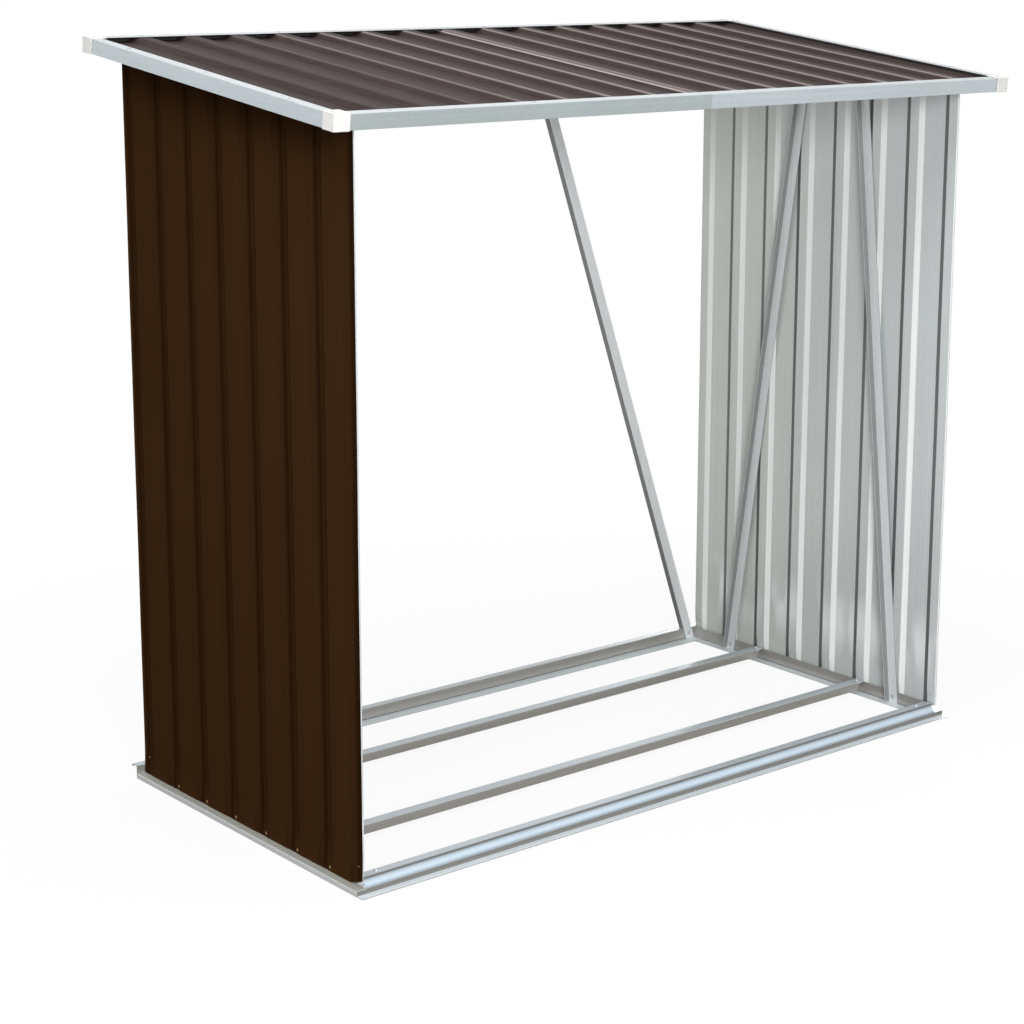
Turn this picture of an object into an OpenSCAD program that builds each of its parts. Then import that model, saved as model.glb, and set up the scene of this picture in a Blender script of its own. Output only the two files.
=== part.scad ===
// Open log store: a galvanised base frame and braces carry two profiled sheet walls
// and a sheet roof that falls from the rear to the front.
// X runs along the length, the open front faces -Y, Z is up.
// The origin lies on the ground, in the middle of the whole outline.

/* [Base frame] */
// Length of the base along X
base_l = 1630; // [1200:10:2200]
// Depth of the base along Y
base_d = 830; // [700:10:1100]
// Height of the rails' upright webs
rail_h = 28; // [22:1:50]
// Thickness of the folded rails
rail_t = 1; // [0.6:0.1:2]
// Height of the ledge on the front rail
ledge_h = 10; // [8:1:14]
// Depth of the front rail's ledge
ledge_w = 35; // [28:1:50]
// Width of the front rail's lip on the ground
lip_w = 18; // [10:1:30]
// Depth of the front rail's outward top return
return_w = 21; // [12:1:26]
// Height of the lip that hems a return
return_lip = 5; // [3:1:10]
// Width of the side rails' ledge, with the web behind it
side_ledge_w = 23; // [20:1:40]
// Width of the side rails' inward foot
side_foot_w = 22; // [15:1:40]
// Width of the rear rail's outward top return
rear_return_w = 18; // [12:1:30]
// Width of the rear rail's inward foot
rear_foot_w = 30; // [15:1:50]

/* [Floor beams] */
// Width of a floor beam
beam_w = 25; // [18:1:40]
// Height of a floor beam
beam_h = 19; // [12:1:26]
// Distance between the beams' centre lines
beam_spacing = 330; // [200:10:450]
// Length of the flat tongue at each end of a beam
tongue_l = 24; // [16:1:40]

/* [Profiled sheet] */
// Wanted distance from rib to rib
sheet_pitch = 107.5; // [90:0.5:130]
// Width of a rib's flat crown
rib_w = 25; // [18:1:44]
// Width of a rib's sloping flank
flank_w = 13; // [4:1:18]
// Overall height of the roof's profile
sheet_h = 10.8; // [8:0.2:14]
// Overall height of the walls' profile
wall_h = 5.6; // [4:0.2:14]
// Thickness of the sheet
sheet_t = 0.8; // [0.5:0.1:1.2]
// Distance from a wall's edges to the base outline
wall_inset = 21.8; // [21.4:0.2:30]

/* [Roof] */
// Height of the roof's rear edge above the ground
total_h = 1540; // [1200:10:2000]
// Fall of the roof towards the front, in degrees
roof_slope = 7; // [4:0.5:12]
// Overhang of the roof beyond each side of the base
side_overhang = 63; // [40:1:120]
// Overhang of the roof beyond the front of the base
front_overhang = 41; // [20:1:120]
// Height of the edge trims' faces
trim_h = 29; // [22:1:45]
// Width of the edge trims' top flanges
trim_w = 24; // [16:1:30]
// Thickness of the edge trims
trim_t = 1; // [0.6:0.1:1.6]
// Gap between the two halves of a front or rear trim
trim_joint = 0.6; // [0.2:0.1:2]
// Width of a corner cap, both ways
cap_w = 34; // [30:1:50]
// Wall thickness of a corner cap
cap_t = 1.5; // [1:0.1:3]
// How far a cap's skirt reaches below the trims
cap_skirt = 1; // [0.5:0.1:4]
// Height of the top rails' upright legs
top_rail_h = 25; // [18:1:40]
// Width of the top rails' inward legs
top_rail_w = 20; // [12:1:30]
// How far the under sheet stops short in the roof's middle lap
lap_margin = 3; // [2:0.5:8]

/* [Braces] */
// Width of a brace's flat leg
brace_w = 26; // [18:1:40]
// Width of a brace's standing leg
brace_leg = 15; // [8:1:25]
// Thickness of a brace
brace_t = 1.2; // [0.8:0.1:2]
// How far the standing leg is set in from the flat leg's edge
brace_edge = 0.2; // [0.1:0.1:1]
// Length at a brace's head where the standing leg is cut away
brace_notch = 42; // [36:1:80]
// How far the standing leg stops short of a brace's foot
brace_toe = 3; // [1:0.5:40]
// Distance from the middle to a rear brace's head
rear_head_x = 250; // [120:10:400]
// Distance from the base's rear edge to the foot of the side walls' rear brace
rear_side_foot = 152; // [100:1:200]
// How far the head of the side walls' rear brace stands in front of its foot
rear_side_head = 215; // [120:1:240]
// Distance from the base's front edge to the foot of the side walls' front brace
front_side_foot = 143; // [100:1:200]
// How far the head of the side walls' front brace stands behind its foot
front_side_head = 154; // [80:1:200]

/* [Fits] */
// Clearance between pieces that are set against each other
fit = 0.3; // [0.1:0.05:0.4]

/* [Hidden] */

steel = "#b9c0c2";
brown = "#4a3426";
cream = "#ebe7da";

// Base frame, measured from the middle of the base
base_half = base_l / 2;
base_front = -base_d / 2;
base_rear = base_d / 2;
riser_y = base_front + lip_w;
upright_y = riser_y + ledge_w;
return_y = upright_y - return_w;
rear_web_y = base_rear - rear_return_w - rail_t;
web_out = base_half - side_ledge_w;
web_in = web_out - rail_t;
side_ledge_h = ledge_h + rail_t;
beam_top = rail_h + rail_t;
front_foot_y = base_front + front_side_foot;
rear_foot_y = base_rear - rear_side_foot;

// Profiled sheet
roof_fall = sheet_h - sheet_t;
wall_fall = wall_h - sheet_t;
wall_w = base_d - 2 * wall_inset;
wall_in = web_out + fit;
wall_ribs = round((wall_w - rib_w) / sheet_pitch);

// Roof, in its own sloping frame: origin at the rear edge, top of the caps
trim_set = cap_t + fit;
trim_in = trim_set + trim_t;
rib_top = -trim_in;
roof_under = trim_in + sheet_h;
roof_half = base_half + side_overhang;
roof_rear = rear_web_y + trim_in * cos(roof_slope) - roof_under * sin(roof_slope);
roof_front = base_front - front_overhang;
roof_len = (roof_rear - roof_front) / cos(roof_slope);
sheet_rear = -trim_in - fit;
sheet_front = -roof_len + trim_in + fit;
sheet_w = 2 * (roof_half - trim_in - fit);
half_ribs = round((sheet_w - rib_w) / (2 * sheet_pitch));
cap_h = trim_set + trim_h + cap_skirt;
cut_over = 1;

// Shift that puts the middle of the whole outline over the origin
y_shift = -(base_rear + roof_front) / 2;

// Height of the roof sheet's underside over a place y
function under_roof(y) =
    total_h - (roof_rear - y) * tan(roof_slope) - roof_under / cos(roof_slope);

// Shift of a sheet's back face at a bend between a flat and a flank of this fall
function bend(fall) = sheet_t * tan(atan2(fall, flank_w) / 2);

// Crown face of a profiled sheet; the last rib may drop to lie under a lapping sheet
function crown_face(ribs, pitch, fall, drop, cut) = concat(
    [for (k = [0 : ribs - 1]) each [
        [k * pitch, 0],
        [k * pitch + rib_w, 0],
        [k * pitch + rib_w + flank_w, -fall],
        [(k + 1) * pitch - flank_w, -fall]
    ]],
    [[ribs * pitch - flank_w * drop / fall, -drop], [ribs * pitch + rib_w - cut, -drop]]
);

// Back face of the same sheet, one thickness below, drawn from the far edge
function back_face(ribs, pitch, fall, drop, cut) = concat(
    [[ribs * pitch + rib_w - cut, -drop - sheet_t]],
    [[ribs * pitch - flank_w * drop / fall + bend(fall), -drop - sheet_t]],
    [for (k = [ribs - 1 : -1 : 0]) each [
        [(k + 1) * pitch - flank_w + bend(fall), -fall - sheet_t],
        [k * pitch + rib_w + flank_w - bend(fall), -fall - sheet_t],
        [k * pitch + rib_w - bend(fall), -sheet_t],
        [k * pitch + (k > 0 ? bend(fall) : 0), -sheet_t]
    ]]
);

function sheet_outline(ribs, pitch, fall, drop = 0, cut = 0) =
    concat(crown_face(ribs, pitch, fall, drop, cut), back_face(ribs, pitch, fall, drop, cut));

// Sideways run of a slanting bar per unit of height, and the stretch of its level cut
function slant(foot, head) = (head[0] - foot[0]) / (head[1] - foot[1]);
function spread(foot, head) = sqrt(1 + pow(slant(foot, head), 2));
function along(foot, head, z) = foot[0] + slant(foot, head) * (z - foot[1]);

// Placing helpers
module stand() translate([0, y_shift, 0]) children();
module on_roof() stand() translate([0, roof_rear, total_h]) rotate([roof_slope, 0, 0]) children();
module other_side() mirror([1, 0, 0]) children();
module roof_front_end() translate([0, -roof_len, 0]) mirror([0, 1, 0]) children();
module along_x(from, to) translate([from, 0, 0]) rotate([90, 0, 90]) linear_extrude(to - from) children();
module along_y(from, to) translate([0, to, 0]) rotate([90, 0, 0]) linear_extrude(to - from) children();
module strip(from, to) translate(from) square(to - from);

// A lip and ledge under the side rails' ends, and a sloping shoulder up to the top return
module front_base_rail() color(steel) stand() {
    foot_half = base_half - rail_t - fit;
    along_x(-foot_half, foot_half) {
        strip([base_front, 0], [riser_y + rail_t, rail_t]);
        strip([riser_y, 0], [riser_y + rail_t, ledge_h]);
        strip([riser_y, ledge_h - rail_t], [upright_y, ledge_h]);
    }
    upright_half = web_out - fit;
    along_x(-upright_half, upright_half) {
        strip([upright_y - rail_t, ledge_h - rail_t], [upright_y, rail_h]);
        strip([return_y, rail_h - rail_t], [upright_y, rail_h]);
        strip([return_y, rail_h - return_lip], [return_y + rail_t, rail_h]);
    }
    shoulder_half = web_in - fit;
    along_x(-shoulder_half, shoulder_half)
        polygon([
            [riser_y, ledge_h - rail_t / 2],
            [riser_y + rail_t, ledge_h - rail_t / 2],
            [return_y + rail_t, rail_h - return_lip + rail_t / 2],
            [return_y, rail_h - return_lip + rail_t / 2]
        ]);
}

module rear_base_rail() color(steel) stand() {
    along_x(-base_half, base_half) {
        strip([rear_web_y, 0], [rear_web_y + rail_t, rail_h]);
        strip([rear_web_y, rail_h - rail_t], [base_rear, rail_h]);
        strip([base_rear - rail_t, rail_h - return_lip], [base_rear, rail_h]);
    }
    foot_half = web_in - fit;
    along_x(-foot_half, foot_half)
        strip([rear_web_y - rear_foot_w, 0], [rear_web_y + rail_t, rail_t]);
}

module side_base_rail() color(steel) stand() {
    rail_rear = rear_web_y - fit;
    along_y(riser_y, rail_rear) {
        strip([base_half - rail_t, 0], [base_half, side_ledge_h]);
        strip([web_in, side_ledge_h - rail_t], [base_half, side_ledge_h]);
    }
    along_y(upright_y + fit, rail_rear)
        strip([web_in, 0], [web_out, rail_h]);
    along_y(upright_y + fit, rear_web_y - rear_foot_w - fit)
        strip([web_in - side_foot_w, 0], [web_out, rail_t]);
}

module left_base_rail() other_side() side_base_rail();

module right_base_rail() side_base_rail();

// An inverted channel whose flat end tongues rest on the side rails' webs
module floor_beam(y) color(steel) stand() translate([0, y, 0]) {
    leg_half = web_in - tongue_l;
    along_x(-web_out, web_out)
        strip([-beam_w / 2, rail_h], [beam_w / 2, beam_top]);
    for (side = [-1, 1])
        along_x(-leg_half, leg_half)
            strip([side * (beam_w - rail_t) / 2 - rail_t / 2, beam_top - beam_h],
                  [side * (beam_w - rail_t) / 2 + rail_t / 2, beam_top]);
}

module front_floor_beam() floor_beam(-beam_spacing / 2);

module rear_floor_beam() floor_beam(beam_spacing / 2);

// Everything above the sheet's underside, which trims the walls' tops
module above_roof() along_x(0, base_l)
    polygon([
        [-base_d, under_roof(-base_d) - fit],
        [base_d, under_roof(base_d) - fit],
        [base_d, 2 * total_h],
        [-base_d, 2 * total_h]
    ]);

// A wall stands on the side rail's ledge with its narrow ribs against the web
module side_wall() color(brown) stand() difference() {
    translate([0, 0, side_ledge_h]) linear_extrude(total_h)
        polygon([for (p = sheet_outline(wall_ribs, (wall_w - rib_w) / wall_ribs, wall_fall))
            [wall_in - p[1], p[0] - wall_w / 2]]);
    above_roof();
}

module left_wall() other_side() side_wall();

module right_wall() side_wall();

// An angle under the roof sheet that holds a wall's top edge
module top_rail() color(steel) on_roof() {
    rail_top = -roof_under - fit;
    rail_rear = (wall_w / 2 - roof_rear) / cos(roof_slope);
    along_y(rail_rear - wall_w / cos(roof_slope), rail_rear) {
        strip([web_in, rail_top - top_rail_h], [web_out, rail_top]);
        strip([web_out - top_rail_w, rail_top - rail_t], [web_out, rail_top]);
    }
}

module left_top_rail() other_side() top_rail();

module right_top_rail() top_rail();

module roof_sheet(drop, cut) color(brown) on_roof() along_y(sheet_front, sheet_rear)
    translate([-sheet_w / 2, rib_top])
        polygon(sheet_outline(half_ribs, (sheet_w - rib_w) / (2 * half_ribs), roof_fall, drop, cut));

module roof_sheet_left() roof_sheet(sheet_t + fit, lap_margin);

module roof_sheet_right() other_side() roof_sheet(0, 0);

// Half of an end trim, right of the middle, at the rear edge
module half_trim() along_x(trim_joint / 2, roof_half - trim_set - trim_w - fit) {
    strip([-trim_in, -trim_set - trim_h], [-trim_set, -trim_set]);
    strip([-trim_set - trim_w, -trim_in], [-trim_set, -trim_set]);
}

module rear_trim_left() color(steel) other_side() on_roof() half_trim();

module rear_trim_right() color(steel) on_roof() half_trim();

module front_trim_left() color(steel) other_side() on_roof() roof_front_end() half_trim();

module front_trim_right() color(steel) on_roof() roof_front_end() half_trim();

module side_trim() color(steel) on_roof() along_y(-roof_len + trim_set, -trim_set) {
    strip([roof_half - trim_in, -trim_set - trim_h], [roof_half - trim_set, -trim_set]);
    strip([roof_half - trim_set - trim_w, -trim_in], [roof_half - trim_set, -trim_set]);
}

module left_trim() other_side() side_trim();

module right_trim() side_trim();

// A cap with a top and two outer walls, over the ends of the trims
module corner_cap() difference() {
    translate([roof_half - cap_w, -cap_w, -cap_h]) cube([cap_w, cap_w, cap_h]);
    translate([roof_half - cap_w - cut_over, -cap_w - cut_over, -cap_h - cut_over])
        cube([cap_w - cap_t + cut_over, cap_w - cap_t + cut_over, cap_h - cap_t + cut_over]);
}

module rear_right_cap() color(cream) on_roof() corner_cap();

module rear_left_cap() color(cream) other_side() on_roof() corner_cap();

module front_right_cap() color(cream) on_roof() roof_front_end() corner_cap();

module front_left_cap() color(cream) other_side() on_roof() roof_front_end() corner_cap();

// Flat leg of a slanting brace, with level ends
module flat_leg(foot, head) {
    half = brace_w / 2 * spread(foot, head);
    polygon([foot - [half, 0], foot + [half, 0], head + [half, 0], head - [half, 0]]);
}

// Standing leg along one edge of a brace, cut away at the head
module standing_leg(foot, head, edge) {
    outer = edge * (brace_w / 2 - brace_edge) * spread(foot, head);
    inner = outer - edge * brace_t * spread(foot, head);
    low = foot[1] + brace_toe;
    high = head[1] - brace_notch;
    polygon([
        [along(foot, head, low) + inner, low],
        [along(foot, head, low) + outer, low],
        [along(foot, head, high) + outer, high],
        [along(foot, head, high) + inner, high]
    ]);
}

// A brace across the open rear, from a base corner to the rear trim
module rear_brace() color(steel) stand() {
    face = rear_web_y - fit;
    head = [rear_head_x, under_roof(face - brace_t) - fit];
    foot_z = rail_t + fit;
    lean = (web_in - rear_head_x) / (head[1] - foot_z);
    foot = [web_in - fit - brace_w / 2 * sqrt(1 + pow(lean, 2)), foot_z];
    along_y(face - brace_t, face) flat_leg(foot, head);
    along_y(face - brace_t / 2, face - brace_t + brace_leg) standing_leg(foot, head, -1);
}

module rear_brace_left() other_side() rear_brace();

module rear_brace_right() rear_brace();

// A brace inside a side wall, from the base rail to the top rail
module side_brace(foot_y, head_y) color(steel) stand() {
    face = web_in - fit;
    lowest_y = head_y - brace_w;
    foot = [foot_y, rail_t + fit];
    head = [head_y, under_roof(lowest_y) - (rail_t + 2 * fit) / cos(roof_slope)];
    along_x(face - brace_t, face) flat_leg(foot, head);
    along_x(face - brace_leg, face - brace_t / 2) standing_leg(foot, head, 1);
}

module left_brace_front() other_side() right_brace_front();

module left_brace_rear() other_side() right_brace_rear();

module right_brace_front() side_brace(front_foot_y, front_foot_y + front_side_head);

module right_brace_rear() side_brace(rear_foot_y, rear_foot_y - rear_side_head);

front_base_rail();
rear_base_rail();
left_base_rail();
right_base_rail();
front_floor_beam();
rear_floor_beam();
left_wall();
right_wall();
left_top_rail();
right_top_rail();
roof_sheet_left();
roof_sheet_right();
front_trim_left();
front_trim_right();
rear_trim_left();
rear_trim_right();
left_trim();
right_trim();
front_left_cap();
front_right_cap();
rear_left_cap();
rear_right_cap();
rear_brace_left();
rear_brace_right();
left_brace_front();
left_brace_rear();
right_brace_front();
right_brace_rear();
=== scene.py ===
import math

import bpy
import numpy as np
from mathutils import Euler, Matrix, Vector


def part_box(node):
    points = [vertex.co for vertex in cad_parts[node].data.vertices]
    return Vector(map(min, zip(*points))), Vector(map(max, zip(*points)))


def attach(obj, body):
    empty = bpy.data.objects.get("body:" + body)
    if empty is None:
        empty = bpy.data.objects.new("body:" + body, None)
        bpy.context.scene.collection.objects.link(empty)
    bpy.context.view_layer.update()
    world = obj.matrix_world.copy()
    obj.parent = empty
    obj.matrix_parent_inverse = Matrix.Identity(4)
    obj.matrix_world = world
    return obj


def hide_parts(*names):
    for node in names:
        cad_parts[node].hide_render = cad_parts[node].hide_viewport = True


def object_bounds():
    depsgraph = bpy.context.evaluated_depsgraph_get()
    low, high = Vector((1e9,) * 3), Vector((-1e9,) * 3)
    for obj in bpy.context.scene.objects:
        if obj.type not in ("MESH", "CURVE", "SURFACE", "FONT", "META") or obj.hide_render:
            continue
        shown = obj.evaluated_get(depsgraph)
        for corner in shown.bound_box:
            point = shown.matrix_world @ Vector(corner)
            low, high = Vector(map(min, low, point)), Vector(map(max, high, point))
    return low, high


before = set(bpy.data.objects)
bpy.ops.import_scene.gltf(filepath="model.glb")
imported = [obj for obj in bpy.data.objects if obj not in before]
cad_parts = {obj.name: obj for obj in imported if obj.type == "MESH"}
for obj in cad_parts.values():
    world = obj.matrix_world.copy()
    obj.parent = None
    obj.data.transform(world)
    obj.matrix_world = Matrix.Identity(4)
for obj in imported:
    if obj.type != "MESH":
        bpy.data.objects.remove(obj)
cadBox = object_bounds()
scene = bpy.context.scene
scene.view_settings.view_transform = "Standard"
mm = 0.001

print("stage: frame loaded")


# places read off the frame
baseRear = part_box("rear_base_rail")[1].y
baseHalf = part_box("rear_base_rail")[1].x
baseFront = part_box("front_base_rail")[0].y
baseMid = (baseRear + baseFront) / 2
capLow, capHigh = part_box("rear_right_cap")
roof = {"slope": math.radians(7), "top": cadBox[1].z, "half": capHigh.x}
roof["rear"] = capLow.y + (capHigh.x - capLow.x) * math.cos(roof["slope"])
roof["length"] = (roof["rear"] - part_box("front_right_cap")[0].y) / math.cos(roof["slope"])
wallLow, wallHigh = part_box("right_wall")

# profiled sheet
sheet = {"rib": 25 * mm, "flank": 13 * mm, "height": 10.8 * mm, "wallHeight": 5.6 * mm, "thick": 0.8 * mm,
         "bend": 2.6 * mm, "pitch": 107.5 * mm, "sway": 0.3 * mm, "fold": 3.6 * mm, "cutLong": 36 * mm,
         "cutHigh": 15 * mm, "runOut": 60 * mm, "footDepth": 0.2, "headDrop": 120 * mm, "lapOff": 2 * mm,
         "lapCut": 3 * mm, "wallRows": 150, "roofRows": 40}
wallWidth = wallHigh.y - wallLow.y
wallRibs = round((wallWidth - sheet["rib"]) / sheet["pitch"])
wallPitch = (wallWidth - sheet["rib"]) / wallRibs
creaseY = wallLow.y + sheet["rib"] / 2
capT, fit, trimT, trimWide = 1.5 * mm, 0.3 * mm, 1.0 * mm, 24 * mm
trimSet, trimIn = capT + fit, capT + fit + trimT
roofWide = 2 * (roof["half"] - trimIn - fit)
halfRibs = round((roofWide - sheet["rib"]) / (2 * sheet["pitch"]))
roofPitch = (roofWide - sheet["rib"]) / (2 * halfRibs)
lapX = sheet["rib"] / 2 + sheet["lapOff"]


def onRoof(points):
    # roof frame to world: turn about X by the slope, then move to the roof's rear top edge
    c, s = math.cos(roof["slope"]), math.sin(roof["slope"])
    x, y, z = points[..., 0], points[..., 1], points[..., 2]
    return np.stack([x, roof["rear"] + c * y - s * z, roof["top"] + s * y + c * z], -1)


def inWorld(points):
    return points


def flipX(points):
    # mirror image on the left side
    return points * np.array([-1.0, 1.0, 1.0])


# shader maths: a socket that can be added, multiplied and so on
class Socket:
    def __init__(self, shade, link):
        self.shade, self.link = shade, link

    def maths(self, operation, first, second):
        return self.shade.add("ShaderNodeMath", {"operation": operation}, {0: first, 1: second})

    def __add__(self, other):
        return self.maths("ADD", self, other)

    def __radd__(self, other):
        return self.maths("ADD", other, self)

    def __sub__(self, other):
        return self.maths("SUBTRACT", self, other)

    def __rsub__(self, other):
        return self.maths("SUBTRACT", other, self)

    def __mul__(self, other):
        return self.maths("MULTIPLY", self, other)

    def __rmul__(self, other):
        return self.maths("MULTIPLY", other, self)

    def __abs__(self):
        return self.maths("ABSOLUTE", self, 0.0)


class Shade:
    def __init__(self, owner):
        owner.use_nodes = True
        self.owner, self.tree = owner, owner.node_tree
        self.surface = self.tree.nodes.get("Principled BSDF")
        self.place = self.add("ShaderNodeTexCoord", {}, {}, "Object")

    def add(self, kind, settings, sockets, out=0):
        # adds any node: its settings first, then values or links on its sockets
        node = self.tree.nodes.new(kind)
        for key, value in settings.items():
            setattr(node, key, value)
        for key, value in sockets.items():
            self.feed(node.inputs[key], value)
        return Socket(self, node.outputs[out])

    def feed(self, entry, value):
        if isinstance(value, Socket):
            self.tree.links.new(value.link, entry)
        else:
            entry.default_value = value

    def finish(self, **sockets):
        # sockets of the surface shader, by name with underscores for spaces
        for key, value in sockets.items():
            self.feed(self.surface.inputs[key.replace("_", " ")], value)
        return self.owner

    def close(self, shader):
        # the shader that leaves the tree
        last = next(n for n in self.tree.nodes if n.type in ("OUTPUT_MATERIAL", "OUTPUT_WORLD"))
        self.tree.links.new(shader.link, last.inputs["Surface"])
        return self.owner

    def axis(self, name):
        return self.add("ShaderNodeSeparateXYZ", {}, {"Vector": self.place}, name)

    def stretched(self, scale):
        return self.add("ShaderNodeMapping", {}, {"Vector": self.place, "Scale": scale})

    def noise(self, scale, detail=3.0, vector=None, rough=0.55):
        sockets = {"Vector": vector or self.place, "Scale": scale, "Detail": detail, "Roughness": rough}
        return self.add("ShaderNodeTexNoise", {}, sockets)

    def blend(self, factor, first, second):
        sockets = {0: factor, 6: (*first, 1) if isinstance(first, tuple) else first,
                   7: (*second, 1) if isinstance(second, tuple) else second}
        return self.add("ShaderNodeMix", {"data_type": "RGBA"}, sockets, 2)

    def steps(self, value, low, high):
        # smooth step of a value from low to high
        sockets = {"Value": value, "From Min": low, "From Max": high}
        return self.add("ShaderNodeMapRange", {"interpolation_type": "SMOOTHSTEP"}, sockets)

    def bump(self, height, strength, distance):
        return self.add("ShaderNodeBump", {}, {"Height": height, "Strength": strength, "Distance": distance})


def newShade(name):
    return Shade(bpy.data.materials.new(name))


def streakScale(axis, along, across):
    return tuple(along if i == axis else across for i in range(3))


def toned(colour, tone):
    return tuple(c * tone for c in colour)


def wallCoat(name, tone):
    # matt coil coating, with faint rolling streaks and a fine orange peel, and painted shade along the
    # grooves
    s = newShade(name)
    streak = s.noise(1.0, 4.0, s.stretched(streakScale(2, 1.2, 300.0)))
    cloud = s.noise(2.2, 2.0)
    dust = s.steps(s.noise(coat["speck"], 2.0), 0.62, 0.78)
    mix = s.steps(streak * 0.6 + cloud * 0.4, 0.3, 0.7)
    colour = s.blend(mix, toned(coat["dark"], tone), toned(coat["light"], tone))
    colour = s.blend(dust * coat["dusty"], colour, coat["dust"])
    # painted shade along each groove: distance from the nearest groove's middle
    y = s.axis("Y")
    off = y.maths("PINGPONG", y - creaseY, wallPitch / 2)
    shade = (1 - s.steps(off, 0.0, coat["line"])) * coat["deep"]
    colour = s.blend(shade, colour, toned(coat["dark"], coat["grooveShade"]))
    peel = s.noise(coat["peel"], 2.0) * 0.5 + streak * 0.8
    return s.finish(Base_Color=colour, Roughness=0.5 + 0.10 * cloud + 0.06 * dust,
                    Specular_IOR_Level=0.0, Normal=s.bump(peel, 0.10, 0.0004))


def roofCoat():
    # satin coating, greyer and pinker than the walls' brown with a painted sheen of reflected sky, and with
    # streaks down the slope
    # a painted highlight runs pale along one edge of each rib, and a pale double line of painted highlight
    # follows the lap of the two sheets
    s = newShade("brownRoof")
    streak = s.noise(1.0, 4.0, s.stretched(streakScale(1, 1.4, 130.0)))
    cloud = s.noise(3.0, 2.0)
    colour = s.blend(s.steps(streak * 0.7 + cloud * 0.3, 0.3, 0.7), roofTone["dark"], roofTone["light"])
    # distance from the nearest rib's left edge
    x = s.axis("X")
    off = x.maths("PINGPONG", x + sheet["rib"] / 2, roofPitch / 2)
    # painted highlight: pale along each rib's left edge, fading in towards the right, and a double line
    # along the lap
    highlightFade = s.steps(x, roofTone["from"], roofTone["to"])
    edge = (1 - s.steps(off, roofTone["sharp"], roofTone["edge"])) * highlightFade * roofTone["highlight"]
    lap = 1 - s.steps(abs(abs(x + lapX) - roofTone["gap"]), roofTone["lapFrom"], roofTone["lapTo"])
    colour = s.blend(edge.maths("MAXIMUM", edge, lap), colour, roofTone["paleHighlight"])
    # painted shadow: a dark line beside the trim at each side, where the gap under the flange lies in shade
    sideShadow = roof["half"] - trimSet - trimWide - roofTone["line"]
    colour = s.blend(s.steps(abs(x), sideShadow, sideShadow + roofTone["soft"]), colour, roofTone["deep"])
    return s.finish(Base_Color=colour, Roughness=0.5 + 0.08 * cloud, Specular_IOR_Level=0.06,
                    Normal=s.bump(streak, 0.12, 0.0004))


# line, deep and the groove tone give the width, strength and colour of the painted shade in the grooves
coat = {"dark": (0.040, 0.0176, 0.0064), "light": (0.046, 0.0206, 0.0077), "dust": (0.12, 0.09, 0.07),
        "dusty": 0.05, "speck": 420.0, "peel": 900.0, "line": 15 * mm, "deep": 0.62, "grooveShade": 0.25}
# roof tones: dark and light hold the painted sheen, the pale tone is the painted highlight and deep the
# painted shadow beside the trims
roofTone = {"dark": (0.028, 0.0195, 0.0185), "light": (0.042, 0.0300, 0.0285), "paleHighlight": (0.30, 0.262, 0.253),
            "deep": (0.006, 0.005, 0.004), "line": 10 * mm, "soft": 3 * mm, "sharp": 0.6 * mm,
            "edge": 4.8 * mm, "highlight": 0.7, "from": -0.75, "to": -0.20, "gap": 3.8 * mm, "lapFrom": 0.9 * mm,
            "lapTo": 2.4 * mm}


def zincCoat(name, axis, colour, metal, rough, ribbed=0.0, rear=None, foot=None, swell=None):
    # galvanised steel: rolling lines along the strip over a fine, faint zinc spangle
    s = newShade(name)
    spangle = s.add("ShaderNodeTexVoronoi", {"feature": "SMOOTH_F1"},
                    {"Vector": s.place, "Scale": zinc["spangle"], "Smoothness": 0.5}, "Color")
    grain = s.add("ShaderNodeSeparateColor", {}, {"Color": spangle}, "Red")
    streak = s.noise(1.0, 4.0, s.stretched(streakScale(axis, 0.9, 330.0)), 0.6)
    cloud = s.noise(4.0, 3.0)
    mix = s.steps(grain * 0.12 + streak * (0.58 + ribbed) + cloud * 0.3, 0.25, 0.75 + ribbed)
    base = s.blend(mix, toned(colour, zinc["deep"]), colour)
    if rear:
        # painted reflection: a greener tint towards the rear of the sheet
        behind = s.steps(s.axis("Y"), -zinc["turn"], zinc["turn"])
        base = s.blend(behind, base, s.blend(mix, toned(rear, zinc["deep"]), rear))
        # painted reflection: lighter patches low on the sheet
        low = 1 - s.steps(abs(s.axis("Z") - zinc["patchAt"]), 0.0, zinc["patch"])
        spot = s.steps(s.noise(1.0, 1.0, s.stretched(zinc["patchScale"])), 0.46, 0.62)
        base = s.blend(low * spot * zinc["patchy"], base, zinc["shine"])
    if foot:
        # painted light: lighter low down, where the lip lies flat on the ground
        lighter = s.blend(mix, toned(foot, zinc["deep"]), foot)
        base = s.blend(s.steps(s.axis("Z"), *zinc["footHigh"]), lighter, base)
    if swell:
        # painted shade, deeper towards both edges of the soft shoulder
        edge = s.steps(abs(s.axis("Z") - swell), *zinc["swell"])
        base = s.blend(edge, base, toned(colour, zinc["swellShade"]))
    return s.finish(Base_Color=base, Metallic=metal,
                    Roughness=rough - 0.04 * grain + 0.10 * streak,
                    Normal=s.bump(streak + 0.3 * cloud, 0.10 + ribbed, 0.0003))


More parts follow.
